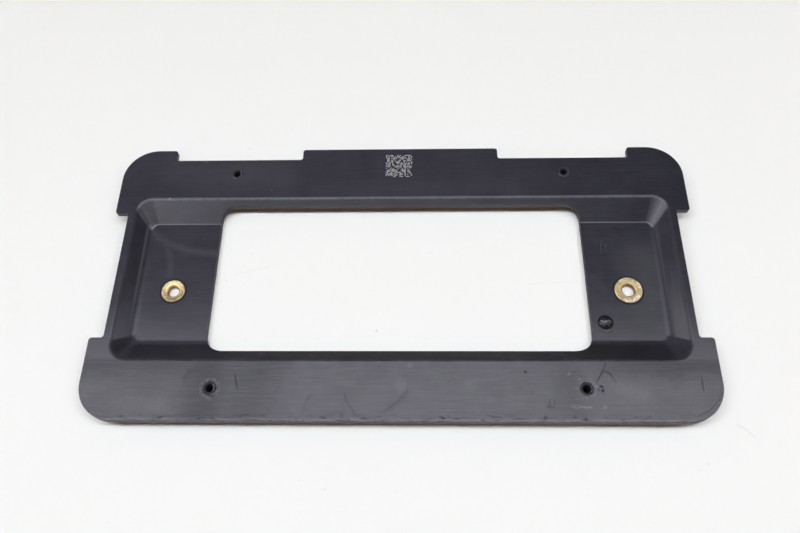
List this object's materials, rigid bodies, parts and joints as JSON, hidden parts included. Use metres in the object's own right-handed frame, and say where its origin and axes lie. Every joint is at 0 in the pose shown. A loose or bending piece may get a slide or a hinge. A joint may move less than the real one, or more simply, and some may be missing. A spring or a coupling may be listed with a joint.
{
  "type": "number plate holder",
  "caption": "Flat moulded base for a number plate, with a dished recess, a large open window, blind plate screw holes and flanged metal mounting bushes.",
  "frame": {"origin": "centre of the bounding box at the resting plane, on the centre line of the plate outline and level with the lower ends of the screw bosses and bushes", "axes": "+X along the length of the plate to the right seen from the front, +Y towards the notched upper edge, +Z out of the face that carries the plate"},
  "size_m": [0.3048, 0.1524, 0.0116],
  "materials": {
    "moulding": "satin moulded plastic with light handling scuffs",
    "bush_metal": "dull yellowed metal, worn bright in places",
    "plug_rubber": "glossy black"
  },
  "bodies": {
    "root": {"base_plate": "moulding", "left_bush": "bush_metal", "right_bush": "bush_metal", "domed_plug": "plug_rubber"}
  },
  "joints": []
}
